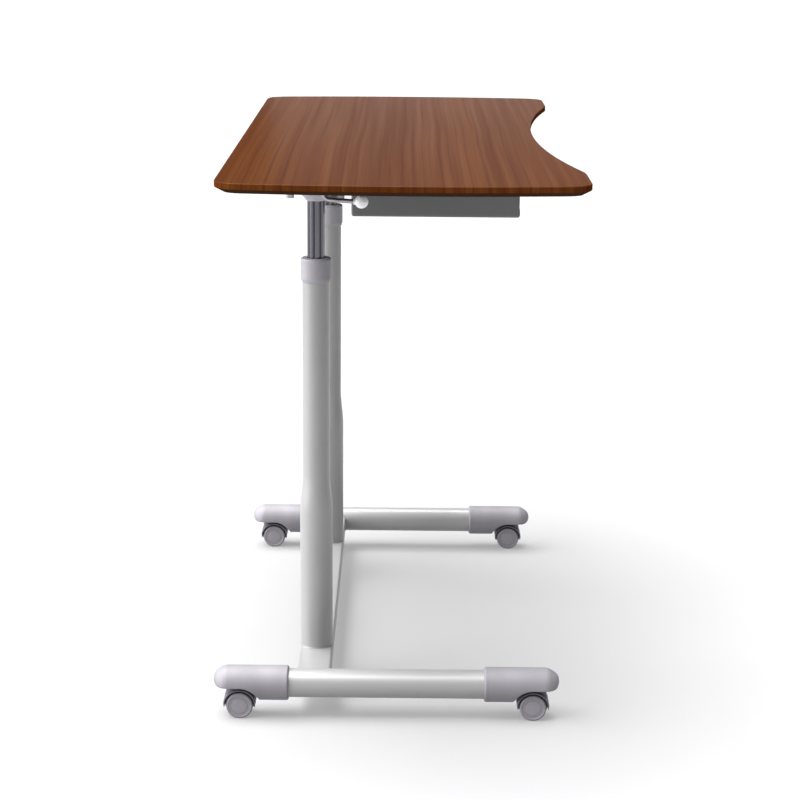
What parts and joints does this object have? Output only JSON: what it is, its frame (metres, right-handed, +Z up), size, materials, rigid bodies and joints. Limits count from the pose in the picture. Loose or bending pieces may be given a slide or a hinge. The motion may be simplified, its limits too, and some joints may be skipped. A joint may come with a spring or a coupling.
{
  "type": "overbed table",
  "caption": "Height-adjustable overbed table: curved wood top on telescoping columns, with release lever, storage tray and casters.",
  "frame": {"origin": "on the floor, under the middle of the whole table", "axes": "+Z up, +Y along the table top, +X towards the user side with the curved edge"},
  "size_m": [0.53, 1.18, 0.822],
  "materials": {
    "silver_paint": "silver powder coat, satin",
    "grey_plastic": "light grey moulded plastic, fine texture",
    "grey_casting": "light grey paint, satin",
    "caster_plastic": "dark grey moulded nylon",
    "wheel_plastic": "mid grey moulded wheel",
    "anodised": "dark anodised, fluted, bright",
    "steel": "zinc plated",
    "black_paint": "black gas spring paint",
    "dark_steel": "dark grey powder coat, matt",
    "nylon": "natural nylon",
    "wood_top": "cherry-brown wood grain laminate, satin",
    "white_knob": "white moulded ball"
  },
  "bodies": {
    "base": {"foot_tube_near": "silver_paint", "foot_cap_near_rear": "grey_plastic", "foot_cap_near_front": "grey_plastic", "foot_tube_far": "silver_paint", "foot_cap_far_rear": "grey_plastic", "foot_cap_far_front": "grey_plastic", "crossbar": "silver_paint", "column_outer_near": "silver_paint", "guide_sleeve_near": "nylon", "collar_near": "grey_plastic", "collar_screw_near": "steel", "gas_cylinder_near": "black_paint", "base_nut_near": "steel", "column_outer_far": "silver_paint", "guide_sleeve_far": "nylon", "collar_far": "grey_plastic", "collar_screw_far": "steel", "gas_cylinder_far": "black_paint", "base_nut_far": "steel"},
    "lifting_frame": {"inner_tube_near": "anodised", "glide_bush_near": "nylon", "piston_rod_near": "steel", "rod_nut_near": "steel", "flange_near": "grey_casting", "support_arm_near": "dark_steel", "inner_tube_far": "anodised", "glide_bush_far": "nylon", "piston_rod_far": "steel", "rod_nut_far": "steel", "flange_far": "grey_casting", "support_arm_far": "dark_steel", "cross_rail": "dark_steel", "storage_tray": "dark_steel", "table_top": "wood_top", "lever_bracket": "dark_steel", "stop_screw": "steel"},
    "release_lever": {"release_shaft": "steel", "ball_knob": "white_knob"},
    "release_pin_near": {"release_pin_near": "steel"},
    "release_pin_far": {"release_pin_far": "steel"},
    "caster_near_rear": {"caster_near_rear_body": "caster_plastic", "caster_near_rear_stem": "steel", "caster_near_rear_axle": "steel"},
    "caster_near_rear_wheel_left": {"caster_near_rear_wheel_left": "wheel_plastic"},
    "caster_near_rear_wheel_right": {"caster_near_rear_wheel_right": "wheel_plastic"},
    "caster_near_front": {"caster_near_front_body": "caster_plastic", "caster_near_front_stem": "steel", "caster_near_front_axle": "steel"},
    "caster_near_front_wheel_left": {"caster_near_front_wheel_left": "wheel_plastic"},
    "caster_near_front_wheel_right": {"caster_near_front_wheel_right": "wheel_plastic"},
    "caster_far_rear": {"caster_far_rear_body": "caster_plastic", "caster_far_rear_stem": "steel", "caster_far_rear_axle": "steel"},
    "caster_far_rear_wheel_left": {"caster_far_rear_wheel_left": "wheel_plastic"},
    "caster_far_rear_wheel_right": {"caster_far_rear_wheel_right": "wheel_plastic"},
    "caster_far_front": {"caster_far_front_body": "caster_plastic", "caster_far_front_stem": "steel", "caster_far_front_axle": "steel"},
    "caster_far_front_wheel_left": {"caster_far_front_wheel_left": "wheel_plastic"},
    "caster_far_front_wheel_right": {"caster_far_front_wheel_right": "wheel_plastic"}
  },
  "joints": [
    {"name": "lift", "type": "slide", "parent": "base", "child": "lifting_frame", "axis": [0, 0, 1], "range_m": [-0.08, 0.3]},
    {"name": "release_lever_turn", "type": "hinge", "parent": "lifting_frame", "child": "release_lever", "pos_m": [-0.105, 0, 0.784], "axis": [0, -1, 0], "range_deg": [0, 10], "stiffness_Nm_per_rad": 1.5, "springref_deg": -5.73},
    {"name": "release_pin_near_press", "type": "slide", "parent": "lifting_frame", "child": "release_pin_near", "axis": [0, 0, -1], "range_m": [0, 0.0024]},
    {"name": "release_pin_far_press", "type": "slide", "parent": "lifting_frame", "child": "release_pin_far", "axis": [0, 0, -1], "range_m": [0, 0.0024]},
    {"name": "caster_near_rear_swivel", "type": "hinge", "parent": "base", "child": "caster_near_rear", "pos_m": [-0.237, -0.41, 0.05], "axis": [0, 0, 1], "continuous": true},
    {"name": "caster_near_rear_wheel_left_roll", "type": "hinge", "parent": "caster_near_rear", "child": "caster_near_rear_wheel_left", "pos_m": [-0.226, -0.41, 0.02], "axis": [0, 1, 0], "continuous": true},
    {"name": "caster_near_rear_wheel_right_roll", "type": "hinge", "parent": "caster_near_rear", "child": "caster_near_rear_wheel_right", "pos_m": [-0.226, -0.41, 0.02], "axis": [0, 1, 0], "continuous": true},
    {"name": "caster_near_front_swivel", "type": "hinge", "parent": "base", "child": "caster_near_front", "pos_m": [0.222, -0.41, 0.05], "axis": [0, 0, 1], "continuous": true},
    {"name": "caster_near_front_wheel_left_roll", "type": "hinge", "parent": "caster_near_front", "child": "caster_near_front_wheel_left", "pos_m": [0.211, -0.41, 0.02], "axis": [0, 1, 0], "continuous": true},
    {"name": "caster_near_front_wheel_right_roll", "type": "hinge", "parent": "caster_near_front", "child": "caster_near_front_wheel_right", "pos_m": [0.211, -0.41, 0.02], "axis": [0, 1, 0], "continuous": true},
    {"name": "caster_far_rear_swivel", "type": "hinge", "parent": "base", "child": "caster_far_rear", "pos_m": [-0.237, 0.41, 0.05], "axis": [0, 0, 1], "continuous": true},
    {"name": "caster_far_rear_wheel_left_roll", "type": "hinge", "parent": "caster_far_rear", "child": "caster_far_rear_wheel_left", "pos_m": [-0.226, 0.41, 0.02], "axis": [0, 1, 0], "continuous": true},
    {"name": "caster_far_rear_wheel_right_roll", "type": "hinge", "parent": "caster_far_rear", "child": "caster_far_rear_wheel_right", "pos_m": [-0.226, 0.41, 0.02], "axis": [0, 1, 0], "continuous": true},
    {"name": "caster_far_front_swivel", "type": "hinge", "parent": "base", "child": "caster_far_front", "pos_m": [0.222, 0.41, 0.05], "axis": [0, 0, 1], "continuous": true},
    {"name": "caster_far_front_wheel_left_roll", "type": "hinge", "parent": "caster_far_front", "child": "caster_far_front_wheel_left", "pos_m": [0.211, 0.41, 0.02], "axis": [0, 1, 0], "continuous": true},
    {"name": "caster_far_front_wheel_right_roll", "type": "hinge", "parent": "caster_far_front", "child": "caster_far_front_wheel_right", "pos_m": [0.211, 0.41, 0.02], "axis": [0, 1, 0], "continuous": true}
  ],
  "couplings": [
    {"joint": "release_pin_near_press", "follows": "release_lever_turn", "m_per_rad": 0.013},
    {"joint": "release_pin_far_press", "follows": "release_lever_turn", "m_per_rad": 0.013}
  ]
}
